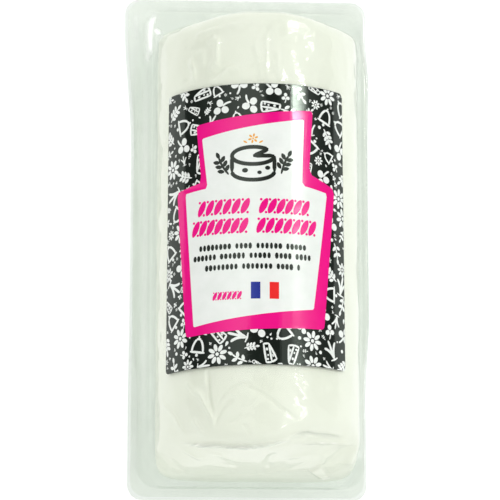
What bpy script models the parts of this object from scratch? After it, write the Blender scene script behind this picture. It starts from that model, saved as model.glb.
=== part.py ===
"""Goat cheese log, wrapped, in a clear formed tray with a clear top film and a label.

The log lies along Y with its shown side up. The origin is the middle of the pack's
underside, +Z is up and -Y is the end with the loose fold. Sizes are in metres.
"""
import math

import bpy
import numpy as np

# Log in its wrap
LOG_RADIUS = 0.0410
LOG_OFFSET_X = 0.0037            # the log lies nearer the +X wall of its tray
LOG_FLAT = 0.0024                # depth of the flat that its own weight presses
FRONT_REACH = 0.0952             # end faces, measured at the height of the log's axis
BACK_REACH = 0.0872
FRONT_SLOPE = 0.168              # how far an end face leans out for each metre down
BACK_SLOPE = 0.03
UNDERCUT_SLOPE = 0.12            # the lower half of an end leans back in
UNDERCUT_START = 0.0028
UNDERCUT_ROUNDING = 0.005
BARREL_FRONT = 0.072             # reach of the straight rings to the front and the back
BARREL_BACK = 0.066
END_SWINGS = (8, 16, 22, 27, 32, 38, 46, 57, 70, 83)   # degrees of the rings beyond them
END_ROUNDING = 0.0050
FLAT_ROUNDING = 0.003
# Where the wrap is folded in at the upper corners of the log: a slant's direction
# (across, along, up) and its distance from the middle of the axis.
CORNER_SLANTS = (
    (-0.45, -0.80, 0.40, 0.0917),
    (0.45, -0.80, 0.40, 0.0893),
    (-0.45, 0.80, 0.40, 0.0900),
    (0.45, 0.80, 0.40, 0.0908),
)
SLANT_ROUNDING = 0.004
WAVE_HEIGHT = 0.00022            # slow waves of the wrap along the barrel
PLEAT_START = 0.012              # the folds of an end face fade out this far inside it
PLEAT_FADE = 0.008

# Tray and film
FLANGE_WIDTH = 0.0956
FLANGE_LENGTH = 0.2094
FLANGE_CORNER = 0.0062
FLANGE_FLARE_LEFT = 0.00275      # at the back its corners flare out
FLANGE_FLARE_RIGHT = 0.0013
FLANGE_SWELL = 0.0009            # the long edges bow out along the middle
FLANGE_BOW = 0.0012              # and the whole flange bows towards +X
FLANGE_LIP = 0.0010
FLANGE_BEND = 0.0026             # and along its middle it is bent this much further down
FLANGE_BELOW_AXIS = 0.007
LONG_SIDE_X = 0.040              # beyond this a point takes the whole widening of its side
RIM_WIDTH = 0.0904
RIM_OFFSET_X = 0.0014
RIM_LENGTH = 0.1990
RIM_CORNER = 0.0075
RIM_BULGE = 0.0024               # the long walls bow out along the middle
TRAY_WALL = 0.0005
TRAY_DRAFT = math.radians(5.0)
TRAY_FLOOR_FILLET = 0.009
FILM_THICKNESS = 0.0003
FILM_MARGIN = 0.0008             # the film stops this far inside the flange's edge
FILM_WEB = 0.008                 # how softly the film runs from the log to the flange
FILM_CORNER = 0.0052
FILM_TURNS = (6, 12, 18, 24, 30, 36, 42, 48, 54, 60, 66, 71, 76, 81)   # degrees from the crest
GAP = 0.0003

# Label
LABEL_LENGTH = 0.1134
LABEL_ARC = 0.0832
LABEL_CENTRE_Y = -0.0019
LABEL_CENTRE_ARC = -0.0036
LABEL_TAPER = 0.013              # share by which its half width grows to the front
LABEL_RISE = 0.011               # it is stuck on slightly askew, higher to the right
LABEL_CORNER = 0.0020
LABEL_THICKNESS = 0.0002

AXIS_Z = TRAY_WALL + GAP + LOG_RADIUS - LOG_FLAT
FLANGE_TOP = AXIS_Z - FLANGE_BELOW_AXIS

# Folds of the wrap on an end face: a point (across, up) on the crease, the way the
# crease runs in degrees, its depth and its width.
FRONT_CREASES = (
    (0.020, 0.006, 62.0, 0.0014, 0.0030),
    (0.004, 0.016, 12.0, 0.0010, 0.0032),
    (-0.020, 0.008, 128.0, 0.0012, 0.0030),
    (-0.004, -0.012, 20.0, 0.0011, 0.0035),
)
BACK_CREASES = (
    (0.016, 0.010, 115.0, 0.0012, 0.0030),
    (-0.016, 0.012, 60.0, 0.0012, 0.0030),
    (0.0, -0.006, 4.0, 0.0012, 0.0035),
)


def ramp(value, start, end):
    """Smooth rise from 0 at start to 1 at end."""
    share = np.clip((value - start) / (end - start), 0.0, 1.0)
    return share * share * (3 - 2 * share)


def middle_stretch(y):
    """1 along the pack's middle, where its long sides bow out, and 0 near both ends."""
    return ramp(y, -0.064, -0.028) * ramp(y, 0.090, 0.066)


def back_flare(y):
    """0 along most of the flange, rising to 1 at its back corners."""
    return ramp(y, 0.040, 0.092)


def widened(points, amount):
    """Move points outwards along X by amount, more the nearer they are to a long side."""
    outwards = np.clip(points[:, 0] / LONG_SIDE_X, -1.0, 1.0)
    return points + np.column_stack([outwards * amount, np.zeros(len(points))])


def flange_shaped(points, share=1.0):
    """Bend a plain rectangle's points to the flange's real outline: it swells and bows
    along the middle and flares at the back. share tells how much of this applies."""
    middle = middle_stretch(points[:, 1])
    flare = np.where(points[:, 0] < 0, FLANGE_FLARE_LEFT, FLANGE_FLARE_RIGHT) * back_flare(points[:, 1])
    shaped = widened(points, (FLANGE_SWELL * middle + flare) * share)
    return shaped + np.column_stack([FLANGE_BOW * middle * share, np.zeros(len(points))])


def smooth_max(a, b, softness):
    """The larger of two distances, with the edge between them rounded off."""
    near = np.maximum(softness - np.abs(a - b), 0.0) / softness
    return np.maximum(a, b) + near * near * softness / 4


def smooth_min(a, b, softness):
    """The smaller of two distances, with a fillet in the corner between them."""
    return -smooth_max(-a, -b, softness)


def end_face(y, z, reach, slope):
    """Distance past an end face that leans out as it goes down, then back in."""
    upper = (y - (reach - slope * z)) / math.hypot(1.0, slope)
    lower = (y - (reach + UNDERCUT_START + UNDERCUT_SLOPE * z)) / math.hypot(1.0, UNDERCUT_SLOPE)
    return smooth_max(upper, lower, UNDERCUT_ROUNDING)


def log_distance(p):
    """Distance outside the wrapped log: a cylinder along Y with a pressed flat below
    and two rounded end faces. p is relative to the middle of the log's axis."""
    x, y, z = p[..., 0], p[..., 1], p[..., 2]
    around = np.hypot(x, z) - LOG_RADIUS
    side = smooth_max(around, -z - (LOG_RADIUS - LOG_FLAT), FLAT_ROUNDING)
    ends = np.maximum(end_face(-y, z, FRONT_REACH, FRONT_SLOPE),
                      end_face(y, z, BACK_REACH, BACK_SLOPE))
    form = smooth_max(side, ends, END_ROUNDING)
    for across, along, up, distance in CORNER_SLANTS:
        slant = across * x + along * y + up * z - distance
        form = smooth_max(form, slant, SLANT_ROUNDING)
    return form


def film_distance(p):
    """Distance above the film: the log, one gap larger, joined to the flange by a
    fillet that is wide where the tray's wall is far from the log."""
    over_log = log_distance(p) - GAP
    over_flange = p[..., 2] + FLANGE_BELOW_AXIS - GAP
    return smooth_min(over_log, over_flange, FILM_WEB)


def crease_depth(x, z, creases):
    """Sum of straight valleys on an end face, each a bell across its own line."""
    depth = np.zeros_like(x)
    for px, pz, degrees, deep, wide in creases:
        turn = math.radians(degrees)
        across = (x - px) * math.sin(turn) - (z - pz) * math.cos(turn)
        depth += deep * np.exp(-(across / wide) ** 2)
    return depth


def wrap_relief(p):
    """How far the wrap lies in from the plain form: pleats on the two end faces and
    slow waves along the barrel."""
    x, y, z = p[..., 0], p[..., 1], p[..., 2]
    turn = np.arctan2(x, z)
    waves = WAVE_HEIGHT * (1 + np.sin(3 * turn + 55 * y) * np.cos(2 * turn - 38 * y))
    front = np.clip((-y - FRONT_REACH + PLEAT_START) / PLEAT_FADE, 0, 1)
    back = np.clip((y - BACK_REACH + PLEAT_START) / PLEAT_FADE, 0, 1)
    return waves + front * crease_depth(x, z, FRONT_CREASES) + back * crease_depth(x, z, BACK_CREASES)


def find_surface(start, direction, reach, distance):
    """Point on each ray from start along direction where the distance turns positive,
    found by halving the span between zero and reach."""
    low = np.zeros(start.shape[:-1])
    high = np.full(start.shape[:-1], reach)
    for _ in range(40):
        middle = (low + high) / 2
        inside = distance(start + direction * middle[..., None]) < 0
        low = np.where(inside, middle, low)
        high = np.where(inside, high, middle)
    return start + direction * high[..., None]


def rounded_rectangle(half_x, half_y, corner, corner_steps, side_steps, end_steps):
    """Points round a rectangle with round corners, counter-clockwise from the +X side.
    side_steps and end_steps are the divisions of the long and the short sides."""
    points = []
    corners = ((1, 1, 0), (-1, 1, 90), (-1, -1, 180), (1, -1, 270))
    for index, (sx, sy, start) in enumerate(corners):
        cx, cy = sx * (half_x - corner), sy * (half_y - corner)
        arc = []
        for k in range(corner_steps + 1):
            turn = math.radians(start + 90 * k / corner_steps)
            arc.append((cx + corner * math.cos(turn), cy + corner * math.sin(turn)))
        points += arc
        nx, ny, after = corners[(index + 1) % 4]
        turn = math.radians(after)
        following = (nx * (half_x - corner) + corner * math.cos(turn),
                     ny * (half_y - corner) + corner * math.sin(turn))
        steps = end_steps if index % 2 == 0 else side_steps
        for k in range(1, steps):
            share = k / steps
            points.append((arc[-1][0] + (following[0] - arc[-1][0]) * share,
                           arc[-1][1] + (following[1] - arc[-1][1]) * share))
    return np.array(points)


def lofted_object(name, rings, collection, close_first=False, close_last=False):
    """Object whose skin joins ring after ring of equally many points. A closed end is
    a fan round the middle of its ring."""
    rings = np.asarray(rings)
    count, around = rings.shape[:2]
    points = rings.reshape(-1, 3).tolist()
    faces = []
    for k in range(count - 1):
        for m in range(around):
            n = (m + 1) % around
            a, b = k * around, (k + 1) * around
            faces.append((a + m, a + n, b + n, b + m))
    if close_first:
        points.append(rings[0].mean(axis=0).tolist())
        faces += [(len(points) - 1, (m + 1) % around, m) for m in range(around)]
    if close_last:
        points.append(rings[-1].mean(axis=0).tolist())
        base = (count - 1) * around
        faces += [(len(points) - 1, base + m, base + (m + 1) % around) for m in range(around)]
    mesh = bpy.data.meshes.new(name)
    mesh.from_pydata(points, [], faces)
    mesh.validate()
    mesh.shade_smooth()
    mesh.set_sharp_from_angle(angle=math.radians(40))
    piece = bpy.data.objects.new(name, mesh)
    collection.objects.link(piece)
    return piece


def thicken(piece, thickness, offset):
    """Give an open surface its wall: offset 1 adds it outside, -1 inside."""
    wall = piece.modifiers.new("Wall", "SOLIDIFY")
    wall.thickness = thickness
    wall.offset = offset
    wall.use_even_offset = True


def add_material(piece, colour, roughness, alpha=1.0):
    """Principled material with one colour, for a solid of one finish."""
    material = bpy.data.materials.new(piece.name)
    material.use_nodes = True
    shader = material.node_tree.nodes["Principled BSDF"]
    shader.inputs["Base Color"].default_value = (*colour, 1.0)
    shader.inputs["Roughness"].default_value = roughness
    shader.inputs["Metallic"].default_value = 0.0
    shader.inputs["Alpha"].default_value = alpha
    piece.data.materials.append(material)


def place_on_axis(points):
    """Move points from the log's own frame to the pack's."""
    return points + np.array([LOG_OFFSET_X, 0.0, AXIS_Z])


def make_log(collection, around=52):
    """Rings of rays from the log's axis. Along the barrel they stand square to it, and
    at each end they swing round to the axis, so the rings close on the end face."""
    turn = np.arange(around) / around * 2 * math.pi
    barrel = np.linspace(-BARREL_FRONT, BARREL_BACK, 17)
    swing = np.radians(END_SWINGS)
    rings = []
    stations = [(barrel[0], -s) for s in swing[::-1]]
    stations += [(y, 0.0) for y in barrel]
    stations += [(barrel[-1], s) for s in swing]
    for y, lean in stations:
        start = np.tile((0.0, y, 0.0), (around, 1))
        direction = np.stack([np.sin(turn) * math.cos(lean), np.full(around, math.sin(lean)),
                              np.cos(turn) * math.cos(lean)], axis=1)
        surface = find_surface(start, direction, 0.07, log_distance)
        rings.append(surface - direction * wrap_relief(surface)[:, None])
    log = lofted_object("wrapped_log", place_on_axis(np.array(rings)), collection, True, True)
    add_material(log, (0.87, 0.90, 0.80), 0.45)


def make_tray(collection):
    """Open shell of rounded rectangles: lip, flange, drafted wall, filleted floor."""
    depth = FLANGE_TOP - TRAY_WALL
    draw = depth * math.tan(TRAY_DRAFT)
    rings = []
    for inset, drop, bend in ((-0.0004, FLANGE_LIP, 1.0), (-0.0002, 0.0005, 0.5), (0.0003, 0.0, 0.0)):
        plan = rounded_rectangle(FLANGE_WIDTH / 2 - inset, FLANGE_LENGTH / 2 - inset, FLANGE_CORNER, 4, 12, 4)
        middle = middle_stretch(plan[:, 1]) * np.clip(np.abs(plan[:, 0]) / LONG_SIDE_X, 0.0, 1.0)
        plan = flange_shaped(plan)
        rings.append(np.column_stack([plan, FLANGE_TOP - drop - middle * FLANGE_BEND * bend]))
    outline = [(-0.0004, RIM_CORNER, FLANGE_TOP), (0.0, RIM_CORNER, FLANGE_TOP - 0.0005)]
    for step in range(6):
        turn = math.radians(90 * step / 5)
        inset = draw + TRAY_FLOOR_FILLET * (1 - math.cos(turn))
        height = TRAY_WALL + TRAY_FLOOR_FILLET * (1 - math.sin(turn))
        outline.append((inset, RIM_CORNER, height))
    for inset, corner, height in outline:
        plan = rounded_rectangle(RIM_WIDTH / 2 - inset, RIM_LENGTH / 2 - inset, corner, 4, 12, 4)
        bulge = RIM_BULGE * middle_stretch(plan[:, 1]) * (height / FLANGE_TOP)
        plan = widened(plan, bulge) + np.array([RIM_OFFSET_X, 0.0])
        rings.append(np.column_stack([plan, np.full(len(plan), height)]))
    tray = lofted_object("tray", rings, collection, close_last=True)
    thicken(tray, TRAY_WALL, -1)
    add_material(tray, (0.80, 0.88, 0.80), 0.15, 0.35)


def film_plan():
    """Low and high X, low and high Y and corner of the film's rings in plan, from the
    crest line out to the flange: even steps round the log's top, close steps down its
    steep sides, then the web. Relative to the log's axis."""
    front = FRONT_REACH - FRONT_SLOPE * LOG_RADIUS
    back = BACK_REACH - BACK_SLOPE * LOG_RADIUS
    rings = []
    turns = np.radians(FILM_TURNS)
    for turn in turns:
        away = turns[-1] - turn
        left = away * LOG_RADIUS * (0.45 + 0.55 * min(away / 0.6, 1.0))
        reach_x = LOG_RADIUS * math.sin(turn)
        rings.append((-reach_x, reach_x, -(front - left), back - left, 0.001 + 0.003 * turn))
    side = LOG_RADIUS * math.sin(turns[-1])
    fall = LOG_RADIUS + FLANGE_BELOW_AXIS
    front_run = FRONT_SLOPE * fall + 2 * GAP
    back_run = BACK_SLOPE * fall + 2 * GAP
    for share in (0.2, 0.4, 0.6, 0.8, 1.0):
        wide = side + (LOG_RADIUS + 2 * GAP - side) * share
        rings.append((-wide, wide, -(front + front_run * share), back + back_run * share, FILM_CORNER))
    inner = rings[-1]
    outer_x, outer_y = FLANGE_WIDTH / 2 - FILM_MARGIN, FLANGE_LENGTH / 2 - FILM_MARGIN
    outer = (-outer_x - LOG_OFFSET_X, outer_x - LOG_OFFSET_X, -outer_y, outer_y, FLANGE_CORNER)
    for share in (0.12, 0.26, 0.42, 0.66, 1.0):
        rings.append(tuple(a + (b - a) * share for a, b in zip(inner, outer)))
    return rings


def make_film(collection):
    """Rings in plan, each point of which drops straight down until it meets the log or
    the flange, so the film drapes over both."""
    top, floor = 0.06, -FLANGE_BELOW_AXIS - 0.002
    rings = []
    for low_x, high_x, low_y, high_y, corner in film_plan():
        plan = rounded_rectangle((high_x - low_x) / 2, (high_y - low_y) / 2, corner, 4, 8, 14)
        plan += np.array([(low_x + high_x) / 2, (low_y + high_y) / 2])
        on_flange = ramp(high_x, LOG_RADIUS, FLANGE_WIDTH / 2 - FILM_MARGIN - LOG_OFFSET_X)
        plan = flange_shaped(plan, on_flange)
        start = np.column_stack([plan, np.full(len(plan), top)])
        down = np.tile((0.0, 0.0, -1.0), (len(plan), 1))
        rings.append(find_surface(start, down, top - floor, lambda p: -film_distance(p)))
    film = lofted_object("top_film", place_on_axis(np.array(rings)[::-1]), collection, close_last=True)
    thicken(film, FILM_THICKNESS, 1)
    add_material(film, (0.84, 0.92, 0.84), 0.1, 0.25)


def make_label(collection):
    """Round-cornered rectangle in arc length by Y, tapered and sheared a little, wrapped
    round the film's crest."""
    radius = LOG_RADIUS + 2 * GAP + FILM_THICKNESS
    rings = []
    for share in np.linspace(1.0, 0.1, 7):
        flat = rounded_rectangle(LABEL_ARC / 2 * share, LABEL_LENGTH / 2 * share,
                                 LABEL_CORNER * share, 3, 5, 18)
        flat[:, 0] *= 1 - LABEL_TAPER * flat[:, 1] / (LABEL_LENGTH / 2)
        flat[:, 1] += LABEL_RISE * flat[:, 0]
        flat += np.array([LABEL_CENTRE_ARC, LABEL_CENTRE_Y])
        turn = flat[:, 0] / radius
        rings.append(np.column_stack([radius * np.sin(turn), flat[:, 1], radius * np.cos(turn)]))
    label = lofted_object("label", place_on_axis(np.array(rings)), collection, close_last=True)
    thicken(label, LABEL_THICKNESS, 1)
    add_material(label, (0.05, 0.055, 0.05), 0.4)


def main():
    for thing in list(bpy.data.objects):
        bpy.data.objects.remove(thing, do_unlink=True)
    pack = bpy.data.collections.new("goat_cheese_pack")
    bpy.context.scene.collection.children.link(pack)
    make_log(pack)
    make_tray(pack)
    make_film(pack)
    make_label(pack)


main()
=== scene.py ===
"""Looks of a goat cheese log that is vacuum-packed in a clear tray under a clear film.

The log's white wrap is pleated at both ends, the film clings to it, and a printed label
lies over its crest. They are worked out in the frame of the log's axis, and the tray in
the pack's: X across, Y along, Z up, in metres. Tables of folds and print are in mm.
"""
import math

import bpy
import numpy as np
from mathutils import Matrix


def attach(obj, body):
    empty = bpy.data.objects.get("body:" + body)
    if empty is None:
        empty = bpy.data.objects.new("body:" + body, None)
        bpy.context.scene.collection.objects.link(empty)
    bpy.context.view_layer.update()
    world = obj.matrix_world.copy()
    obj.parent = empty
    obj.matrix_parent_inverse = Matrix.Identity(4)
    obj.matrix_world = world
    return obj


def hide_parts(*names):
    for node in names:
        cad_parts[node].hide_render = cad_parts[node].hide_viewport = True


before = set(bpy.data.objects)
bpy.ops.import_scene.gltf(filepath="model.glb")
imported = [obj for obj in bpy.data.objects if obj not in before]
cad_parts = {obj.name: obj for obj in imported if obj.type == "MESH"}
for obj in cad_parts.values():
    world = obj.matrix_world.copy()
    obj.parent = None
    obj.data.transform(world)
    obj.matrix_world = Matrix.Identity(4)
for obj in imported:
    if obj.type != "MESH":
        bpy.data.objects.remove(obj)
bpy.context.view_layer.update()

MM = 0.001

# Log in its wrap
LOG_RADIUS = 0.0410
LOG_OFFSET_X = 0.0037
LOG_FLAT = 0.0024
FRONT_REACH = 0.0952
BACK_REACH = 0.0872
FRONT_SLOPE = 0.168
BACK_SLOPE = 0.03
UNDERCUT_SLOPE = 0.12
UNDERCUT_START = 0.0028
UNDERCUT_ROUNDING = 0.005
END_ROUNDING = 0.0050
FLAT_ROUNDING = 0.003
# Upper corners: side, end (1 is right or back) and distance of the slant from the middle
CORNER_SLANTS = ((-1, -1, 0.0917), (1, -1, 0.0893), (-1, 1, 0.0900), (1, 1, 0.0908))
SLANT_NORMAL = (0.45, 0.80, 0.40)
SLANT_ROUNDING = 0.004
BARREL_FRONT = 0.072
BARREL_BACK = 0.066

# Tray and film
FLANGE_WIDTH = 0.0956
FLANGE_LENGTH = 0.2094
FLANGE_CORNER = 0.0062
FLANGE_FLARE_LEFT = 0.00275
FLANGE_FLARE_RIGHT = 0.0013
FLANGE_SWELL = 0.0009
FLANGE_BOW = 0.0012
FLANGE_BEND = 0.0026
FLANGE_BELOW_AXIS = 0.007
LONG_SIDE_X = 0.040
RIM_WIDTH = 0.0904
RIM_OFFSET_X = 0.0014
RIM_LENGTH = 0.1990
RIM_CORNER = 0.0075
RIM_BULGE = 0.0024
TRAY_WALL = 0.0005
TRAY_DRAFT = math.radians(5.0)
TRAY_FLOOR_FILLET = 0.009
FILM_THICKNESS = 0.00015
FILM_MARGIN = 0.0008
FILM_WEB = 0.008
FILM_HALF_WIDTH = FLANGE_WIDTH / 2 - FILM_MARGIN
FILM_HALF_LENGTH = FLANGE_LENGTH / 2 - FILM_MARGIN
FILM_WALL = LOG_RADIUS + 0.0008
GAP = 0.0003
# The flange's edge, ring by ring: inset, drop, and share of its bend
FLANGE_PROFILE = (
    (-0.0004, 0.0010, 1.0),
    (-0.00035, 0.0007, 0.8),
    (-0.0002, 0.0004, 0.5),
    (0.0, 0.00015, 0.2),
    (0.0002, 0.0, 0.0),
)

# Label: sizes on the unrolled label are in mm, its radius and thickness in metres
LABEL_HALF_U = 41.6
LABEL_HALF_Y = 56.7
LABEL_MIDDLE = np.array([-3.6, -1.9])
LABEL_CORNER = 2.0
LABEL_TAPER = 0.013
LABEL_RISE = 0.011
LABEL_RADIUS = LOG_RADIUS + 2 * GAP + 0.0003
LABEL_THICKNESS = 0.0001

AXIS_Z = TRAY_WALL + GAP + LOG_RADIUS - LOG_FLAT
FLANGE_TOP = AXIS_Z - FLANGE_BELOW_AXIS

# Camera
CAMERA_TILT = math.radians(12.9)
CAMERA_TURN = math.radians(3.0)
CAMERA_AIM = (0.0008, -0.0035, AXIS_Z)
CAMERA_DISTANCE = 1.1213
CAMERA_LENS = 198.36

# Light: strengths, and edges of the boxes in degrees from straight up towards +X. The left
# box ends at LEFT_BOX_END where the direction's y is 0, and LEFT_BOX_SKEW farther for y of 1.
LEFT_LIGHT = 1.33
RIGHT_LIGHT = 1.16
GAP_LIGHT = 0.12
FRONT_LIGHT = 0.95
BACK_LIGHT = 1.05
STRIP_LIGHT = 32.0
LEFT_BOX_END = -56.7
LEFT_BOX_SKEW = 226.0
RIGHT_BOX_START = (21.5, 24.0)

# Finishes
INK_ROUGHNESS = 0.08
CLEAR_ROUGHNESS = 0.07
FACET_DEPTH = 0.0015
# Glow of the painted highlight lines on the film
PAINTED_GLINT_GLOW = 0.3

# The ridge over the front end, as points of a line (mm, axis frame).
FRONT_RIDGE = ((-31.2, -85.9, 22), (-27.7, -87, 24), (-22, -87.9, 28.1), (-15.7, -88.4, 32.6),
        (-8.9, -89.1, 35), (-2.9, -89, 36.9), (1.4, -88.5, 37.7), (6.4, -87.6, 37.6), (11.5, -86.7, 35.7))

# Folds of the wrap: height, width to the left and to the right of the line's run (mm),
# then the line's points (mm, axis frame).
BARREL_FOLDS = (
    (1.19, 0.79, 1.23, ((-17.2, 76, 37.2), (-17.7, 73.2, 37), (-17.9, 69.9, 36.9), (-17.9, 62.4, 36.9))),
    (0.95, 0.7, 2.18, ((-21.8, 72.4, 34.7), (-20.3, 74.4, 35.7), (-18.1, 76.2, 36.8))),
    (0.72, 0.65, 2.05, ((-21.2, 62.2, 35.1), (-19.6, 63.7, 36), (-18.1, 65.3, 36.8))),
    (1.19, 0.99, 1.78, ((-20.5, 54, 35.5), (-19.6, 56, 36), (-17.3, 58.4, 37.2), (-13.8, 61.5, 38.6),
        (-9.4, 62.4, 39.9))),
    (1.08, 0.7, 1.1, ((-28.4, 68.6, 29.5), (-26.5, 63.1, 31.3), (-26.6, 57.5, 31.2))),
    (0.6, 1.09, 2.73, ((-23.6, 71.6, 33.6), (-23.3, 63.2, 33.7))),
    (0.42, 1.12, 0.81, ((-2.1, 74.7, 41), (-3.1, 70.1, 40.9), (-1.5, 63.9, 41), (-0.6, 56, 41))),
    (0.34, 0.56, 0.93, ((1.6, 77.7, 41), (1.6, 71, 41), (1.4, 64, 41), (1.7, 57, 41))),
    (0.3, 0.99, 0.81, ((5.9, 70.4, 40.6), (5.7, 64.1, 40.6), (6.3, 56, 40.5))),
    (-0.33, 0.93, 0.93, ((-3.5, 72, 41), (-1.5, 73.1, 41), (0.7, 76.4, 41), (2.4, 79.6, 40.9))),
    (0.2, 1.55, 1.55, ((12, 72, 39.2), (11.4, 64, 39.4), (12.4, 57, 39.1))),
    (0.95, 0.93, 0.68, ((-26.2, -65.9, 31.6), (-24.3, -68.9, 33), (-22.2, -73.4, 34.5),
        (-20.2, -77.3, 35.7), (-18.9, -80.3, 36.4), (-19.2, -84, 35.6))),
    (0.54, 1.12, 0.93, ((-29.3, -62.1, 28.7), (-28.4, -65.1, 29.6), (-26.5, -67.9, 31.3),
        (-24.2, -69.7, 33.1))),
    (-0.75, 0.68, 0.5, ((-21.2, -58.1, 35.1), (-21, -65.7, 35.2), (-20.8, -70.8, 35.4),
        (-19.8, -75.6, 35.9), (-18.8, -79.2, 36.4))),
    (0.48, 0.74, 0.74, ((-22.6, -58.5, 34.2), (-22.5, -66, 34.3))),
    (-0.68, 0.56, 0.74, ((-18.6, -82.8, 36.4), (-17.7, -78.9, 37), (-16.2, -75.7, 37.7),
        (-13.9, -73.3, 38.6), (-10.5, -71.7, 39.6))),
    (-0.54, 0.62, 0.5, ((-18.1, -75.4, 36.8), (-17, -72.3, 37.3), (-15.1, -69.7, 38.1),
        (-12, -67.7, 39.2), (-8.5, -66.3, 40.1), (-2.8, -66.1, 40.9))),
    (-0.68, 0.74, 0.62, ((-7.4, -67, 40.3), (-3.5, -68.1, 40.8), (-0.1, -70, 41), (3.4, -72.5, 40.9),
        (6.7, -75.2, 40.4), (10.1, -77.4, 39.7), (13.4, -79.5, 38.7))),
    (-0.41, 0.56, 0.56, ((-14.3, -81.7, 38.4), (-10.7, -80.1, 39.6), (-8.2, -76.8, 40.2))),
    (-0.34, 0.56, 0.56, ((-7.9, -81.5, 40.2), (-6.4, -83.7, 40.5), (-4.4, -86.2, 40.2))),
    (0.68, 0.81, 0.81, ((-26.8, -78, 31), (-25.3, -81.1, 32.1), (-23.7, -83.4, 32.6),
        (-22.2, -84.9, 32.7))),
    (0.75, 0.81, 0.93, ((-38.5, -68.9, 14.2), (-35.7, -72.9, 20.1), (-33.4, -76.1, 23.8),
        (-31.7, -80, 25.9), (-30.1, -83.2, 26.4), (-28.6, -84.8, 26.6))),
    (0.24, 1.86, 1.86, ((21, -60, 35.2), (16, -70, 37.8), (17, -80, 37.3))),
    (0.22, 1.24, 1.61, ((10.5, -62, 39.6), (15.5, -69, 38), (22, -74, 34.6))),
)
END_FOLDS = (
    (1.65, 0.56, 0.78, FRONT_RIDGE),
    (1.4, 0.67, 0.56, ((12.1, -88.1, 32.3), (15.3, -87.2, 31.3), (19.8, -86.3, 28.3), (24.5, -85.7, 24.3),
        (30.8, -85, 18.7), (34.4, -85, 14.5), (39.2, -83.1, 9.4))),
    (-1.4, 0.9, 0.73, ((9.8, -86.2, 37.7), (14.1, -85, 36.2), (17.4, -84.2, 34.6), (19.6, -84.6, 32),
        (24.3, -84, 28), (32.8, -83.5, 19.2))),
    (-0.42, 0.96, 1.28, ((-0.1, -89.4, 34.7), (5, -89.1, 34.6), (8.4, -88.2, 34.9), (11.8, -87.2, 34.5))),
    (-0.54, 1.44, 1.44, ((6.3, -90.3, 28.4), (4, -91.4, 22.8), (3, -92.7, 14.7), (4.2, -94.2, 6.2))),
    (0.48, 1.44, 1.6, ((-31.6, -88.4, 19.4), (-26.7, -90.5, 18.2), (-22.3, -92, 15.9))),
    (-0.96, 2.08, 2.08, ((38.6, -84.4, 11.5), (33.2, -87.9, 11.2), (29.6, -90.4, 9.6), (27.4, -92.6, 6))),
    (0.54, 0.96, 0.96, ((25.2, -92.3, 8.6), (25.7, -90.3, 13.5), (24.5, -89, 17))),
    (0.3, 1.44, 1.44, ((-37.6, -90.1, 8), (-35.3, -92.8, 3.8), (-36.3, -94.8, -4.4))),
    (-0.42, 1.44, 1.44, ((-35.1, -90.4, 9.6), (-32.6, -93, 5.7), (-27.6, -95.2, -1.3))),
    (0.3, 1.28, 1.6, ((-21.8, -90.1, 22.7), (-15.1, -91.2, 22.9), (-9.3, -92.5, 17),
        (-2.8, -92.9, 14.6))),
    (0.24, 1.44, 1.76, ((-19.4, -93, 12.1), (-13.7, -93.6, 9.6), (-7.2, -94.2, 6.9))),
    (0.3, 1.76, 2.08, ((8.9, -91.5, 21.9), (15.2, -90.9, 21.1), (20.9, -90, 19), (24.5, -90.6, 14))),
    (-0.3, 1.76, 1.76, ((10, -94.3, 5), (14.8, -93.5, 10.3), (17.6, -92.2, 15))),
    (0.24, 1.28, 1.6, ((-30, -95, -3.4), (-20, -95.2, -1.1), (-8, -95.4, -3.2), (6, -95.4, -4))),
    (1.6, 0.6, 2.2, ((-27.1, 75.4, 30.8), (-25.6, 77.5, 32), (-22.8, 77.9, 34.1), (-18.1, 78.7, 36.8),
        (-12.8, 79.8, 39), (-9.2, 80, 40), (-5.1, 80.6, 40.7))),
    (0.36, 1.28, 1.28, ((-20, 84, 30), (-10, 86, 33), (2, 86.8, 34.5), (14, 85.5, 32))),
    (-0.54, 1.44, 1.76, ((-26, 86, 18), (-8, 86.6, 12), (10, 86.8, 14), (26, 86, 22))),
    (0.54, 1.12, 1.76, ((24, 87, 4), (8, 87, 9), (-6, 87, 2), (-14, 87, -5))),
    (-0.48, 1.6, 1.28, ((-34, 86, 4), (-20, 86.8, 9), (-10, 86.8, 20), (-4, 86, 28))),
)
# Painted highlights on the film: lines where it is made milky and glows, in place of glints of the lights
# on its creases and on the crest of the front end: strength, width to the left and to the right of the
# line's run (mm), then the line's points.
PAINTED_GLINT_LINES = (
    (0.8, 0.8, 1.5, ((-41.2, 99, -6.7), (-42.8, 95.9, -6.7), (-43.6, 93.6, -6.6), (-43.9, 90, -6.1),
        (-43.7, 84.5, -5.3), (-43.5, 79, -5.2))),
    (0.35, 1.0, 1.2, ((-44.9, 86.5, -6), (-45, 81.7, -6), (-44.8, 76.5, -6))),
    (0.8, 1.0, 0.9, ((-42.4, 92.2, -6.1), (-40.9, 89.8, -5.4), (-40.4, 88.4, -4.6))),
    (0.15, 1.0, 1.0, ((-49.9, 99.8, -6.7), (-50.4, 94.9, -6.7), (-50.2, 86.8, -6.7))),
    (0.25, 0.7, 0.7, FRONT_RIDGE),
    (0.22, 0.7, 0.7, ((9.8, -86.2, 37.7), (14.1, -85, 36.2), (17.4, -84.2, 34.6), (24.3, -84, 28),
        (32.8, -83.5, 19.2))),
    (0.15, 1.2, 1.6, ((-45.8, 90, -6.3), (-45.7, 39.7, -6.3), (-45.5, -2.6, -6.2), (-45.6, -44.2, -6.3),
        (-45.7, -88, -6.3))),
)
# Flat folds that lie on the front end: height at the upper edge, how much it gains for
# each mm down, its bevel (mm), and corners in X and Z, counter-clockwise.
END_TABS = (
    (0.9, 0.08, 0.5, ((20.4, 5.0), (26.6, -5.5), (29.6, -3.5), (24.8, 9.2))),
    (0.5, 0.06, 2.2, ((33.5, 3.5), (38.0, -5.0), (40.5, 6.0), (38.8, 11.5))),
)

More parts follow.
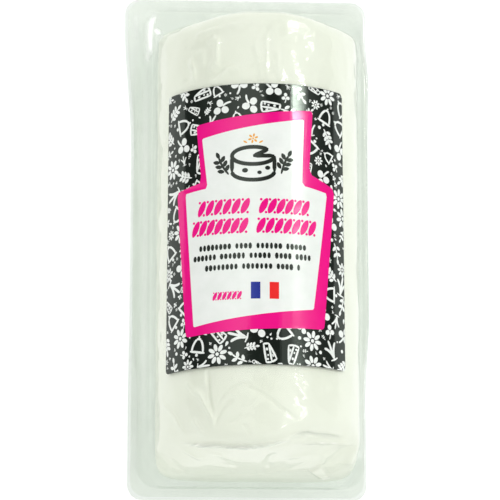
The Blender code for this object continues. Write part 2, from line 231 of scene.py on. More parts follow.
# Print, mm on the unrolled label: across from the crest and along the axis. Each field is
# given as straight rows from its left edge to its right edge, bottom row first.
PINK_ROWS = (
    ((-32.9, -46.1), (26.0, -43.2)),
    ((-38.1, 11.4), (31.8, 12.4)),
    ((-37.5, 13.5), (30.8, 14.7)),
    ((-26.3, 15.5), (20.4, 18.6)),
    ((-25.7, 18.0), (19.2, 21.2)),
    ((-28.0, 39.3), (20.9, 45.1)),
)
WHITE_ROWS = (
    ((-29.0, -42.4), (20.9, -35.7)),
    ((-33.3, 10.8), (27.6, 10.8)),
    ((-33.0, 12.1), (27.2, 12.2)),
    ((-23.4, 12.9), (17.2, 13.7)),
    ((-22.8, 14.4), (16.0, 15.2)),
    ((-25.2, 33.5), (16.9, 41.0)),
)
PANEL_CORNER = 1.6
PANEL_COLUMNS = 45
PINK_LIFT = 0.05
WHITE_LIFT = 0.08
PRINT_LIFT = 0.12
MOTIF_SIZES = ((60, 4.4), (120, 3.1), (220, 2.2), (380, 1.3), (550, 0.75))
MOTIF_SEED = 31


def ramp(value, start, end):
    """Smooth rise from 0 at start to 1 at end: s·s·(3 − 2s), with s clipped to 0..1."""
    share = np.clip((value - start) / (end - start), 0.0, 1.0)
    return share * share * (3 - 2 * share)


def smooth_max(a, b, softness):
    """The larger of two distances, rounded where they meet: max + (softness − |a−b|)² / 4softness."""
    near = np.maximum(softness - np.abs(a - b), 0.0) / softness
    return np.maximum(a, b) + near * near * softness / 4


def end_face(y, z, reach, slope):
    """Distance past an end face that leans out as it goes down, then back in."""
    upper = (y - (reach - slope * z)) / math.hypot(1.0, slope)
    lower = (y - (reach + UNDERCUT_START + UNDERCUT_SLOPE * z)) / math.hypot(1.0, UNDERCUT_SLOPE)
    return smooth_max(upper, lower, UNDERCUT_ROUNDING)


def log_distance(p):
    """Distance outside the log: smooth maximum of a cylinder along Y, a flat below, two
    end faces and the slants at its upper corners."""
    x, y, z = p[..., 0], p[..., 1], p[..., 2]
    around = np.hypot(x, z) - LOG_RADIUS
    side = smooth_max(around, -z - (LOG_RADIUS - LOG_FLAT), FLAT_ROUNDING)
    ends = np.maximum(end_face(-y, z, FRONT_REACH, FRONT_SLOPE), end_face(y, z, BACK_REACH, BACK_SLOPE))
    form = smooth_max(side, ends, END_ROUNDING)
    across, along, up = SLANT_NORMAL
    for sx, sy, distance in CORNER_SLANTS:
        slant = sx * across * x + sy * along * y + up * z - distance
        form = smooth_max(form, slant, SLANT_ROUNDING)
    return form


def film_distance(p):
    """Distance above the film: smooth minimum of the log, one gap larger, and the flange."""
    over_log = log_distance(p) - GAP
    over_flange = p[..., 2] + FLANGE_BELOW_AXIS - GAP
    return -smooth_max(-over_log, -over_flange, FILM_WEB)


def find_surface(start, direction, reach, distance):
    """Point on each ray where the distance turns positive, by halving the span 36 times."""
    low = np.zeros(start.shape[:-1])
    high = np.full(start.shape[:-1], reach)
    for _ in range(36):
        middle = (low + high) / 2
        inside = distance(start + direction * middle[..., None]) < 0
        low = np.where(inside, middle, low)
        high = np.where(inside, high, middle)
    return start + direction * high[..., None]


def outward(p, distance, step=0.0002):
    """Unit gradient of a distance, from differences of two steps along each axis."""
    slopes = [distance(p + axis * step) - distance(p - axis * step) for axis in np.eye(3)]
    gradient = np.stack(slopes, axis=-1)
    return gradient / np.linalg.norm(gradient, axis=-1, keepdims=True)


def fold_height(p, normal, fold, spread):
    """Height of one fold at points p: height·exp(−(d/width)²), where d is the distance to
    the fold's line, width depends on the side of the line, and both ends taper off."""
    height, left, right, line = fold
    line = np.array(line) * MM
    lengths = np.linalg.norm(np.diff(line, axis=0), axis=1)
    passed = np.append(0.0, np.cumsum(lengths)) / lengths.sum()
    nearest = np.full(p.shape[:-1], np.inf)
    width = share = np.zeros(p.shape[:-1])
    for start, end, before, after in zip(line, line[1:], passed, passed[1:]):
        run = end - start
        along = np.clip(((p - start) @ run) / (run @ run), 0.0, 1.0)
        offset = p - (start + along[..., None] * run)
        apart = np.linalg.norm(offset, axis=-1)
        side = np.einsum("...i,...i", np.cross(run, normal), offset)
        closer = apart < nearest
        nearest = np.where(closer, apart, nearest)
        width = np.where(closer, np.where(side > 0, right, left) * spread * MM, width)
        share = np.where(closer, before + along * (after - before), share)
    taper = ramp(share, -0.02, 0.25) * ramp(share, 1.02, 0.75)
    return height * MM * np.exp(-(nearest / width) ** 2) * taper


def tab_height(p, tab):
    """Height of a flat fold: a tilted plate inside a convex outline, with a bevelled edge."""
    height, gain, bevel, corners = tab
    corners = np.array(corners) * MM
    x, z = p[..., 0], p[..., 2]
    inside = np.full(x.shape, np.inf)
    for start, end in zip(corners, np.roll(corners, -1, axis=0)):
        run = (end - start) / np.linalg.norm(end - start)
        inside = np.minimum(inside, run[0] * (z - start[1]) - run[1] * (x - start[0]))
    top = corners[:, 1].max()
    plate = height * MM + gain * np.maximum(top - z, 0.0)
    return plate * ramp(inside, -0.2 * bevel * MM, bevel * MM) * (p[..., 1] < 0)


def slow_waves(p):
    """Slow waves of the wrap along the barrel: sin(3·turn + 55y)·cos(2·turn − 38y)."""
    turn = np.arctan2(p[..., 0], p[..., 2])
    y = p[..., 1]
    return -0.00016 * (1 + np.sin(3 * turn + 55 * y) * np.cos(2 * turn - 38 * y))


def crumple(p, seed, size, count=7):
    """Sharp small creases: the mean of |sin| of plane waves in random directions, each
    bent by a slower wave, less its average of 2/π."""
    rng = np.random.default_rng(seed)
    total = np.zeros(p.shape[:-1])
    for _ in range(count):
        way = rng.normal(size=3)
        way /= np.linalg.norm(way)
        bend = rng.normal(size=3) * 0.35 / size
        phase = rng.uniform(0, 6.28, 2)
        wave = (p @ way) * math.pi / size + 1.6 * np.sin(p @ bend * 2.2 + phase[0]) + phase[1]
        total += np.abs(np.sin(wave))
    return total / count - 0.637


def on_end_face(y):
    """1 on both end faces of the log and 0 on its barrel."""
    return ramp(y, -0.086, -0.090) + ramp(y, 0.083, 0.086)


def wrap_relief(p, normal, taut=False):
    """Height of the wrap over the plain log: waves, folds, tabs and small creases that
    are strongest at both ends. A taut skin over it bridges narrow folds and hollows."""
    y = p[..., 1]
    relief = slow_waves(p)
    for fold in BARREL_FOLDS:
        share = 0.3 if taut and fold[0] < 0 else 1.0
        relief += share * fold_height(p, normal, fold, 1.5 if taut else 1.0)
    for fold in END_FOLDS:
        relief += fold_height(p, normal, fold, 1.0)
    for tab in END_TABS:
        relief += tab_height(p, tab)
    ends = ramp(y, -0.056, -0.074) + ramp(y, 0.054, 0.072)
    relief += 0.00020 * ends * (1 - 0.8 * on_end_face(y)) * crumple(p, 3, 0.011)
    relief += 0.00002 * crumple(p, 8, 0.004)
    return relief


def crest_glints(p):
    """Small creases of the film near both ends: two sizes of crumple."""
    y = p[..., 1]
    front = ramp(y, -0.057, -0.064) * ramp(y, -0.092, -0.086)
    back = ramp(y, 0.055, 0.061) * ramp(y, 0.087, 0.083)
    return (front + 1.5 * back) * (0.00016 * crumple(p, 21, 0.0052) + 0.00006 * crumple(p, 22, 0.0023))


def to_pack(p):
    """Move points from the log's axis frame to the pack's."""
    return p + np.array([LOG_OFFSET_X, 0.0, AXIS_Z])


def mesh_piece(name, points, faces, material, smooth=True):
    """New object from an array of points and a list of faces."""
    mesh = bpy.data.meshes.new(name)
    mesh.from_pydata(points.reshape(-1, 3).tolist(), [], faces)
    mesh.validate()
    if smooth:
        mesh.shade_smooth()
    mesh.materials.append(material)
    piece = bpy.data.objects.new(name, mesh)
    bpy.context.scene.collection.objects.link(piece)
    return piece


def grid_faces(rows, columns, wrap=False):
    """Quads between neighbouring rows and columns. wrap joins the last column to the first."""
    last = columns if wrap else columns - 1
    row, column = np.meshgrid(np.arange(rows - 1), np.arange(last), indexing="ij")
    after = (column + 1) % columns
    quads = np.stack([row * columns + column, row * columns + after,
                      (row + 1) * columns + after, (row + 1) * columns + column], axis=-1)
    return quads.reshape(-1, 4).tolist()


def fan(pole, ring, count, flip=False):
    """Triangles from a pole to the ring of points that starts at index ring."""
    pairs = [(ring + m, ring + (m + 1) % count) for m in range(count)]
    return [(pole, b, a) if flip else (pole, a, b) for a, b in pairs]


def quarter(count):
    """Angles from 0 to 90 degrees, in radians."""
    return np.radians(np.linspace(0, 90, count))


def corner_inset(past, corner):
    """How far a round corner cuts in at a distance past its start: r − √(r² − past²)."""
    past = np.clip(past, 0.0, corner)
    return corner - np.sqrt(np.maximum(corner ** 2 - past ** 2, 0.0))


def thicken(piece, thickness, offset):
    """Solidify: a wall of the given thickness, outside for offset 1, inside for -1."""
    wall = piece.modifiers.new("Wall", "SOLIDIFY")
    wall.thickness = thickness
    wall.offset = offset


def finish_piece(piece, node=None):
    """Let a piece ride on the pack and stand for its solid."""
    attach(piece, "root")
    if node:
        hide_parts(node)
    return piece


def add_node(tree, kind, inputs=None, **settings):
    """New shader node with its settings. Inputs are values or other nodes' outputs."""
    node = tree.nodes.new("ShaderNode" + kind)
    node.location = (len(tree.nodes) * 220, 0)
    for name, value in settings.items():
        setattr(node, name, value)
    for name, value in (inputs or {}).items():
        if isinstance(value, bpy.types.NodeSocket):
            tree.links.new(value, node.inputs[name])
        else:
            node.inputs[name].default_value = value
    return node


def maths(tree, operation, *values, clamp=False):
    """Output of a new Math node that is fed with numbers or other nodes' outputs."""
    return add_node(tree, "Math", dict(enumerate(values)), operation=operation, use_clamp=clamp).outputs[0]


def new_group(name, inputs, output, kind):
    """Empty shader node group with a vector input, float inputs and one output."""
    group = bpy.data.node_groups.new(name, "ShaderNodeTree")
    group.interface.new_socket(name="Vector", in_out="INPUT", socket_type="NodeSocketVector")
    for label, value in inputs.items():
        socket = group.interface.new_socket(name=label, in_out="INPUT", socket_type="NodeSocketFloat")
        socket.default_value = value
    group.interface.new_socket(name=output, in_out="OUTPUT", socket_type="NodeSocket" + kind)
    return group, group.nodes.new("NodeGroupInput").outputs, group.nodes.new("NodeGroupOutput").inputs


def mottle_group():
    """Soft cloudy mask from 0 to 1: noise, stretched by Contrast about its middle."""
    group, given, out = new_group("Mottle", {"Scale": 60.0, "Contrast": 2.0}, "Mask", "Float")
    noise = add_node(group, "TexNoise", {
        "Vector": given["Vector"], "Scale": given["Scale"], "Detail": 4.0, "Roughness": 0.55})
    centred = maths(group, "SUBTRACT", noise.outputs["Fac"], 0.5)
    group.links.new(maths(group, "MULTIPLY_ADD", centred, given["Contrast"], 0.5, clamp=True), out["Mask"])
    return group


def crinkle_group():
    """Normal of fine creases: two sizes of noise, added as a Bump's height."""
    group, given, out = new_group("Fine crinkle", {"Scale": 400.0, "Height": 0.3}, "Normal", "Vector")
    coarse = add_node(group, "TexNoise", {
        "Vector": given["Vector"], "Scale": given["Scale"], "Detail": 2.0, "Distortion": 0.4})
    finer = maths(group, "MULTIPLY", given["Scale"], 3.1)
    fine = add_node(group, "TexNoise", {"Vector": given["Vector"], "Scale": finer, "Detail": 3.0})
    height = maths(group, "MULTIPLY_ADD", fine.outputs["Fac"], 0.35, coarse.outputs["Fac"])
    bump = add_node(group, "Bump", {"Height": height, "Strength": given["Height"], "Distance": 0.0006})
    group.links.new(bump.outputs["Normal"], out["Normal"])
    return group


def place_group(tree, group, vector, scale, label, value):
    """Output of a shared group in a material, fed with object coordinates and its own values."""
    inputs = {"Vector": vector, "Scale": scale, label: value}
    return add_node(tree, "Group", inputs, node_tree=group).outputs[0]


def new_material(name):
    """Material with an empty node tree and object coordinates to start from."""
    material = bpy.data.materials.new(name)
    material.use_nodes = True
    tree = material.node_tree
    tree.nodes.clear()
    return material, tree, add_node(tree, "TexCoord").outputs["Object"]


def surface_material(name, light, dark, roughness, mottle, crinkle, specular=0.5, glow=0.0,
                     gloss=(1.0, 1.0, 1.0)):
    """Opaque finish: two close colours mixed by a cloudy mask, roughness that varies
    with it, and fine creases."""
    material, tree, place = new_material(name)
    mask = place_group(tree, MOTTLE, place, mottle, "Contrast", 2.4)
    colour = add_node(tree, "Mix", {"Factor": mask, "A": (*dark, 1), "B": (*light, 1)}, data_type="RGBA")
    limits = {"To Min": roughness * 0.85, "To Max": roughness * 1.2}
    rough = add_node(tree, "MapRange", {"Value": mask, **limits})
    creases = place_group(tree, CRINKLE, place, crinkle[0], "Height", crinkle[1])
    shader = add_node(tree, "BsdfPrincipled", {
        "Base Color": colour.outputs["Result"], "Roughness": rough.outputs["Result"], "Normal": creases,
        "Specular IOR Level": specular, "Specular Tint": (*gloss, 1), "Emission Color": (1, 1, 1, 1),
        "Emission Strength": glow})
    add_node(tree, "OutputMaterial", {"Surface": shader.outputs["BSDF"]})
    return material


def ink(name, light, dark, mottle=150.0, gloss=(0.86, 1.0, 0.87)):
    """Glossy printing ink."""
    return surface_material(name, light, dark, INK_ROUGHNESS, mottle, (500.0, 0.02), gloss=gloss)


def clear_material(name, tint, haze_colour, haze, shine, crinkle, facets):
    """Clear plastic skin: tinted see-through, mirror gloss that grows towards grazing
    view, and a little cloudy haze. Where the mesh's attribute cling is above 0, the skin
    breaks into small facets: the distance to the nearest of scattered points as a bump.
    The point attribute of painted highlight lines adds to the haze and makes the skin glow a little, as
    painted glints."""
    material, tree, place = new_material(name)
    fine = place_group(tree, CRINKLE, place, crinkle[0], "Height", crinkle[1])
    drawn = add_node(tree, "VectorMath", {0: place, 1: (1.0, 0.6, 1.0)}, operation="MULTIPLY")
    cells = add_node(tree, "TexVoronoi", {"Vector": drawn.outputs[0], "Scale": facets[0]})
    cling = add_node(tree, "Attribute", attribute_name="cling").outputs["Fac"]
    relief = maths(tree, "MULTIPLY", cells.outputs["Distance"], cling)
    creases = add_node(tree, "Bump", {
        "Height": relief, "Normal": fine, "Distance": FACET_DEPTH, "Strength": facets[1]}).outputs["Normal"]
    through = add_node(tree, "BsdfTransparent", {"Color": (*tint, 1)})
    gloss = add_node(tree, "BsdfAnisotropic", {
        "Color": (1, 1, 1, 1), "Roughness": CLEAR_ROUGHNESS, "Normal": creases})
    facing = add_node(tree, "LayerWeight", {"Blend": 0.5, "Normal": creases}).outputs["Facing"]
    share = maths(tree, "MULTIPLY_ADD", maths(tree, "POWER", facing, 4.0), 0.5, shine, clamp=True)
    glossy = add_node(tree, "MixShader", {0: share, 1: through.outputs[0], 2: gloss.outputs[0]})
    mask = place_group(tree, MOTTLE, place, 45.0, "Contrast", 2.5)
    cloud = add_node(tree, "MapRange", {"Value": mask, "To Min": haze * 0.6, "To Max": haze * 1.5})
    # Painted highlights: the point attribute whitens the haze and makes it glow
    painted_glint = add_node(tree, "Attribute", attribute_name="haze_and_painted_glint").outputs["Fac"]
    cloudy = maths(tree, "ADD", cloud.outputs["Result"], painted_glint, clamp=True)
    haze_and_painted_glint = add_node(tree, "BsdfPrincipled", {
        "Base Color": (*haze_colour, 1), "Roughness": 0.5, "Emission Strength": 1.0,
        "Emission Color": maths(tree, "MULTIPLY", painted_glint, PAINTED_GLINT_GLOW)})
    mixed = add_node(tree, "MixShader", {0: cloudy, 1: glossy.outputs[0], 2: haze_and_painted_glint.outputs[0]})
    add_node(tree, "OutputMaterial", {"Surface": mixed.outputs[0]})
    return material


def steps(start, *spans):
    """Rising or falling values from start on, through spans of (count, end)."""
    parts = [[start]]
    for count, end in spans:
        parts.append(np.linspace(parts[-1][-1], end, count)[1:])
    return np.concatenate(parts)


def make_wrap():
    """Wrap skin: rings of rays from the log's axis, square to it along the barrel and
    swinging round to it at each end, moved out by the relief along the log's normal."""
    turn = np.radians(steps(-104, (26, -57), (190, 57), (26, 104), (46, 256))[:-1])
    barrel = steps(-BARREL_FRONT, (41, -0.056), (56, 0.053), (34, BARREL_BACK))
    front = np.radians(steps(89.2, (64, 22), (42, 0.6)))
    back = np.radians(steps(0.6, (34, 20), (46, 89)))
    y = np.concatenate([np.full(front.size, barrel[0]), barrel, np.full(back.size, barrel[-1])])
    lean = np.concatenate([-front, np.zeros(barrel.size), back])
    y, turn_grid = np.meshgrid(y, turn, indexing="ij")
    lean = np.repeat(lean[:, None], turn.size, axis=1)
    start = np.stack([np.zeros_like(y), y, np.zeros_like(y)], axis=-1)
    direction = np.stack([np.sin(turn_grid) * np.cos(lean), np.sin(lean),
                          np.cos(turn_grid) * np.cos(lean)], axis=-1)
    surface = find_surface(start, direction, 0.07, log_distance)
    normal = outward(surface, log_distance)
    surface = surface + normal * wrap_relief(surface, normal)[..., None]
    rows, columns = surface.shape[:2]
    points = np.concatenate([surface.reshape(-1, 3), surface[:1].mean(axis=1), surface[-1:].mean(axis=1)])
    faces = grid_faces(rows, columns, wrap=True)
    faces += fan(rows * columns, 0, columns, flip=True)
    faces += fan(rows * columns + 1, (rows - 1) * columns, columns)
    return finish_piece(mesh_piece("wrap_skin", to_pack(points), faces, WRAP), "wrapped_log")


def middle_stretch(y):
    """1 along the pack's middle and 0 near both ends."""
    return ramp(y, -0.064, -0.028) * ramp(y, 0.090, 0.066)


def flange_shift(outwards, y):
    """How far the flange's edge lies off a plain rectangle's: it swells, flares and bows.
    outwards is -1 on the left edge and 1 on the right edge."""
    middle = middle_stretch(y)
    flare = np.where(outwards < 0, FLANGE_FLARE_LEFT, FLANGE_FLARE_RIGHT) * ramp(y, 0.040, 0.092)
    return outwards * (FLANGE_SWELL * middle + flare) + FLANGE_BOW * middle


def film_lines():
    """Grid lines of the film in plan, close together where it falls steeply: X as
    R·sin(turn), and Y packed at the two end walls and in the corners."""
    over = LOG_RADIUS * np.sin(np.radians(steps(-80, (11, -57), (150, 57), (11, 80))))
    wall = np.linspace(over[-1], FILM_WALL, 9)[1:]
    left_web = np.linspace(0, 1, 15)[1:] ** 1.2
    right_web = np.linspace(0, 1, 6)[1:]
    x = np.concatenate([-wall[-1] - left_web[::-1] * (FILM_HALF_WIDTH + LOG_OFFSET_X - wall[-1]),
                        -wall[::-1], over, wall,
                        wall[-1] + right_web * (FILM_HALF_WIDTH - LOG_OFFSET_X - wall[-1])])
    corner = FILM_HALF_LENGTH - FLANGE_CORNER * (1 - np.sin(quarter(9)))
    straight = FILM_HALF_LENGTH - FLANGE_CORNER
    y = steps(-straight, (3, -0.0972), (51, -0.088), (15, -0.08), (37, -0.0565), (25, 0.054), (39, 0.078),
              (13, 0.0855), (27, 0.088), (13, straight))
    return x, np.concatenate([-corner[::-1], y[1:-1], corner])


def make_film():
    """Film: a grid in plan, each point of which drops until it meets the log or the
    flange, moved out by the relief where it clings to the wrap."""
    x_lines, y_lines = film_lines()
    x, y = np.meshgrid(x_lines, y_lines, indexing="xy")
    for side in (-1, 1):
        plain_edge = side * FILM_HALF_WIDTH - LOG_OFFSET_X
        edge = (plain_edge + flange_shift(side, y_lines))[:, None]
        beyond = (x - side * FILM_WALL) / (plain_edge - side * FILM_WALL)
        x = np.where(side * x > FILM_WALL, side * FILM_WALL + (edge - side * FILM_WALL) * beyond, x)
    inset = corner_inset(np.abs(y_lines) - (FILM_HALF_LENGTH - FLANGE_CORNER), FLANGE_CORNER)
    x = (x + LOG_OFFSET_X) * (1 - inset / FILM_HALF_WIDTH)[:, None] - LOG_OFFSET_X
    top = 0.06
    start = np.stack([x, y, np.full_like(x, top)], axis=-1)
    down = np.array([0.0, 0.0, -1.0])
    surface = find_surface(start, down, top + FLANGE_BELOW_AXIS + 0.002, lambda p: -film_distance(p))
    normal = outward(surface, film_distance)
    clinging = ramp(log_distance(surface), 0.0012, 0.0004)
    under = surface - outward(surface, log_distance) * log_distance(surface)[..., None]
    relief = (wrap_relief(under, normal, taut=True) + crest_glints(surface)) * clinging
    # Painted highlights: lines where the film turns milky and glows, in place of glints of the lights
    haze_and_painted_glint = np.max([fold_height(surface, normal, mark, 1.0) / MM for mark in PAINTED_GLINT_LINES], axis=0)
    surface = surface + normal * relief[..., None]
    film = mesh_piece("film_skin", to_pack(surface), grid_faces(*surface.shape[:2]), FILM)
    for label, values in (("cling", clinging * (1 - on_end_face(y))), ("haze_and_painted_glint", haze_and_painted_glint)):
        film.data.attributes.new(label, "FLOAT", "POINT").data.foreach_set("value", values.ravel())
    thicken(film, FILM_THICKNESS, 1)
    return finish_piece(film, "top_film")


def rounded_rectangle(half_x, half_y, corner, corner_steps=10, side_steps=60, end_steps=26):
    """Points round a rectangle with round corners: quarter circles joined by straight
    sides, counter-clockwise from the +X side."""
    turn = quarter(corner_steps + 1)
    arcs = []
    for sx, sy, start in ((1, 1, 0), (-1, 1, 90), (-1, -1, 180), (1, -1, 270)):
        angle = turn + math.radians(start)
        arcs.append(np.column_stack([sx * (half_x - corner) + corner * np.cos(angle),
                                     sy * (half_y - corner) + corner * np.sin(angle)]))
    points = []
    for index, arc in enumerate(arcs):
        after = arcs[(index + 1) % 4][0]
        count = end_steps if index % 2 == 0 else side_steps
        share = (np.arange(1, count) / count)[:, None]
        points += [arc, arc[-1] + (after - arc[-1]) * share]
    return np.concatenate(points)


def make_tray():
    """Tray: rings of one round-cornered rectangle after another, from the lip over the
    flange, down the drafted wall and the filleted floor, closed at the middle."""
    depth = FLANGE_TOP - TRAY_WALL
    draw = depth * math.tan(TRAY_DRAFT)
    rings = []
    for inset, drop, bend in FLANGE_PROFILE:
        plan = rounded_rectangle(FLANGE_WIDTH / 2 - inset, FLANGE_LENGTH / 2 - inset, FLANGE_CORNER)
        outwards = np.clip(plan[:, 0] / LONG_SIDE_X, -1, 1)
        plan[:, 0] += flange_shift(outwards, plan[:, 1])
        dip = middle_stretch(plan[:, 1]) * np.abs(outwards) * FLANGE_BEND * bend
        rings.append(np.column_stack([plan, FLANGE_TOP - drop - dip]))
    outline = [(-0.0004, 0.0), (-0.0002, 0.0001), (-0.0001, 0.0003), (0.0, 0.0006)]
    outline += [(draw * share, 0.0006 + (depth - TRAY_FLOOR_FILLET) * share)
                for share in np.linspace(0.08, 0.92, 14)]
    outline += [(draw + TRAY_FLOOR_FILLET * (1 - math.cos(turn)),
                 depth - TRAY_FLOOR_FILLET * (1 - math.sin(turn)))
                for turn in quarter(13)]
    for inset, drop in outline:
        height = FLANGE_TOP - drop
        plan = rounded_rectangle(RIM_WIDTH / 2 - inset, RIM_LENGTH / 2 - inset, RIM_CORNER)
        outwards = np.clip(plan[:, 0] / LONG_SIDE_X, -1, 1)
        bulge = RIM_BULGE * middle_stretch(plan[:, 1]) * height / FLANGE_TOP
        plan[:, 0] += outwards * bulge + RIM_OFFSET_X
        rings.append(np.column_stack([plan, np.full(len(plan), height)]))
    floor = rings[-1]
    middle = floor.mean(axis=0)
    rings += [middle + (floor - middle) * share for share in (0.8, 0.6, 0.4, 0.2, 0.05)]
    rows, columns = len(rings), len(floor)
    points = np.concatenate([*rings, middle[None]])
    faces = grid_faces(rows, columns, wrap=True)
    faces += fan(rows * columns, (rows - 1) * columns, columns)
    tray = mesh_piece("tray_shell", points, faces, TRAY)
    thicken(tray, TRAY_WALL, -1)
    return finish_piece(tray, "tray")


def on_label(flat, lift):
    """Wrap points of the unrolled label (metres) round the log at a lift over its face."""
    turn = flat[:, 0] / LABEL_RADIUS
    radius = LABEL_RADIUS + LABEL_THICKNESS + lift
    return to_pack(np.column_stack([radius * np.sin(turn), flat[:, 1], radius * np.cos(turn)]))


def plate(name, flat, faces, low, high, material):
    """Closed thin plate over the label: a face at the high lift, one at the low lift, and
    a rim along every edge that only one face uses. flat and lifts are in mm."""
    flat = np.asarray(flat) * MM
    count = len(flat)
    edges = dict.fromkeys(pair for face in faces for pair in zip(face, face[1:] + face[:1]))
    rim = [(a, b) for a, b in edges if (b, a) not in edges]
    points = np.concatenate([on_label(flat, high * MM), on_label(flat, low * MM)])
    solid = [tuple(face) for face in faces]
    solid += [tuple(index + count for index in face[::-1]) for face in faces]
    solid += [(b, a, a + count, b + count) for a, b in rim]
    return mesh_piece(name, points, solid, material, smooth=False)


def panel(rows, corner):
    """Shouldered field as a grid of straight rows between the given ones, whose ends lie
    1 mm apart at most, with round corners at the bottom and the top."""
    ends = np.array(rows)
    height = np.append(0.0, np.cumsum(np.linalg.norm(np.diff(ends, axis=0), axis=2).max(axis=1)))
    top = height[-1]
    bend = corner * (1 - np.cos(quarter(9)))
    between = np.linspace(corner, top - corner, int(top))
    up = np.unique(np.concatenate([bend, between, height, top - bend]))
    left, right = (np.column_stack([np.interp(up, height, ends[:, side, axis]) for axis in (0, 1)])
                   for side in (0, 1))
    inset = corner_inset(np.maximum(corner - up, up - (top - corner)), corner)
    inset = (inset / np.linalg.norm(right - left, axis=1))[:, None]
    share = inset + (1 - 2 * inset) * np.linspace(0, 1, PANEL_COLUMNS)
    flat = left[:, None] + (right - left)[:, None] * share[..., None]
    return flat.reshape(-1, 2), grid_faces(up.size, PANEL_COLUMNS)


def inside_rows(points, rows):
    """Whether points lie in a field: an odd number of its edges pass to their right."""
    ends = np.array(rows)
    outline = np.concatenate([ends[:, 1], ends[::-1, 0]])
    odd = np.zeros(len(points), bool)
    for a, b in zip(outline, np.roll(outline, -1, axis=0)):
        spans = (a[1] > points[:, 1]) != (b[1] > points[:, 1])
        odd ^= spans & (points[:, 0] < a[0] + (points[:, 1] - a[1]) / (b[1] - a[1]) * (b[0] - a[0]))
    return odd


def disc(centre, across, along, turn=0.0, sides=14, power=1.0):
    """Filled ellipse, pointed where power is above 1: (a·cos, b·sign(sin)·|sin|^power)."""
    angle = np.linspace(0, 2 * math.pi, sides, endpoint=False)
    rise = np.sign(np.sin(angle)) * np.abs(np.sin(angle)) ** power
    flat = np.column_stack([along * np.cos(angle), across * rise])
    half = sides // 2
    strips = [(k, k + 1, sides - k - 1, sides - k) for k in range(1, half - 1)]
    faces = [(0, 1, sides - 1), *strips, (half - 1, half, half + 1)]
    return placed((flat, faces), centre, 1.0, turn)


def ribbon(path, width):
    """Line drawn with a pen: a path offset by half the width to each side, and by half
    of that at both ends."""
    path = np.asarray(path, float)
    run = np.gradient(path, axis=0)
    run /= np.linalg.norm(run, axis=1, keepdims=True)
    half = np.full(len(path), width / 2)
    half[0] = half[-1] = width * 0.26
    side = np.column_stack([-run[:, 1], run[:, 0]]) * half[:, None]
    count = len(path)
    faces = [(k, k + 1, count + k + 1, count + k) for k in range(count - 1)]
    return np.concatenate([path - side, path + side]), faces


def join_shapes(shapes):
    """One flat shape from several: points after points, with the faces renumbered."""
    points, faces, count = [], [], 0
    for flat, these in shapes:
        points.append(flat)
        faces += [tuple(index + count for index in face) for face in these]
        count += len(flat)
    return np.concatenate(points), faces


def placed(shape, centre, size, turn):
    """A flat shape scaled, turned and moved."""
    flat, faces = shape
    c, s = math.cos(turn), math.sin(turn)
    return flat @ np.array([[c, s], [-s, c]]) * size + np.asarray(centre), faces


def curve(points, count=9):
    """Smooth path through three points: the parabola (1−t)²·a + 2t(1−t)·b + t²·c."""
    a, b, c = np.asarray(points, float)
    t = np.linspace(0, 1, count)[:, None]
    return (1 - t) ** 2 * a + 2 * t * (1 - t) * b + t * t * c


def sprig(pairs=3, pen=0.14):
    """Stem with pairs of pointed leaves and one at its tip."""
    stem = curve([(-0.95, -0.1), (0.0, 0.12), (0.55, 0.0)])
    shapes = [ribbon(stem, pen)]
    for k in range(pairs):
        x = -0.62 + 1.15 * k / pairs
        for side in (-1, 1):
            shapes.append(disc((x + 0.16, side * 0.27 + 0.05), 0.16, 0.28, side * 0.95, 10, 1.5))
    shapes.append(disc((0.74, 0.0), 0.15, 0.28, 0.0, 10, 1.5))
    return join_shapes(shapes)


def wedge(pen=0.18):
    """Outline of a cut piece of cheese with round holes."""
    corners = ((-0.85, -0.05), (0.62, 0.52), (0.85, 0.05), (-0.85, -0.05), (-0.85, -0.52), (0.85, -0.45),
               (0.85, 0.05))
    shapes = [ribbon(np.linspace(a, b, 5), pen) for a, b in zip(corners, corners[1:])]
    shapes += [disc((-0.35, -0.27), 0.11, 0.13), disc((0.2, -0.22), 0.08, 0.09),
               disc((0.55, -0.28), 0.1, 0.1), disc((0.28, 0.2), 0.07, 0.14, 0.3)]
    return join_shapes(shapes)


def daisy(petals=8):
    """Ring of petals round a small middle."""
    shapes = [disc((0, 0), 0.17, 0.17)]
    for k in range(petals):
        turn = 2 * math.pi * k / petals
        shapes.append(disc((0.6 * math.cos(turn), 0.6 * math.sin(turn)), 0.18, 0.34, turn, 10))
    return join_shapes(shapes)


def clover():
    """Three broad leaves on a bent stem."""
    shapes = [ribbon(curve([(0.0, -0.1), (0.1, -0.5), (-0.2, -0.95)]), 0.18)]
    for turn in np.radians((90, 205, -25)):
        shapes.append(disc((0.45 * math.cos(turn), 0.12 + 0.45 * math.sin(turn)), 0.32, 0.36, turn))
    return join_shapes(shapes)


def tuft():
    """Three blades of grass from one root."""
    tips = ((-0.75, 0.45), (-0.05, 0.95), (0.7, 0.55))
    shapes = [ribbon(curve([(0.0, -0.8), (tip[0] * 0.2, 0.1), tip]), 0.24) for tip in tips]
    return join_shapes(shapes + [ribbon([(-0.45, -0.82), (0.0, -0.86), (0.45, -0.82)], 0.18)])


def bell(pen=0.21):
    """Outline of a small bell with its clapper."""
    left = curve([(-0.2, 0.6), (-0.55, 0.3), (-0.62, -0.5)])
    mouth = np.linspace((-0.8, -0.52), (0.8, -0.52), 6)
    crown = curve([(-0.2, 0.6), (0.0, 0.76), (0.2, 0.6)])
    shapes = [ribbon(path, pen) for path in (left, left * np.array([-1.0, 1.0]), mouth, crown)]
    return join_shapes([*shapes, disc((0.0, -0.78), 0.15, 0.15), disc((0.0, 0.86), 0.09, 0.09)])


def droplet():
    """A drop, pointed at one end."""
    angle = np.linspace(0, 2 * math.pi, 14, endpoint=False)
    flat = np.column_stack([0.85 * np.cos(angle), 0.6 * np.sin(angle) * np.sin(angle / 2) ** 1.3])
    return flat, [tuple(range(14))]


